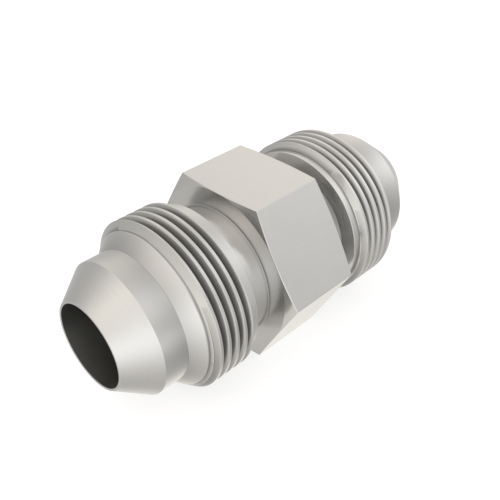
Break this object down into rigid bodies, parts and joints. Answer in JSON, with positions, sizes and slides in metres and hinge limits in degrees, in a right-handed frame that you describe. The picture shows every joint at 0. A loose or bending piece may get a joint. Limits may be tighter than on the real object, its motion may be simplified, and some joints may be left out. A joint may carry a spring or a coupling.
{
  "type": "tube union",
  "caption": "Straight tube union turned from hexagon bar, with a flare cone and a male thread at each end and a bore right through.",
  "frame": {"origin": "centre of the union, on the bore's axis at the middle of the hexagon", "axes": "+X along the bore, +Z square to the upper flat of the hexagon, +Y across"},
  "size_m": [0.0608, 0.0312, 0.027],
  "materials": {
    "machined_steel": "satin turned stainless steel, bare, with fine tool marks round the axis"
  },
  "bodies": {
    "root": {"union_body": "machined_steel"}
  },
  "joints": []
}
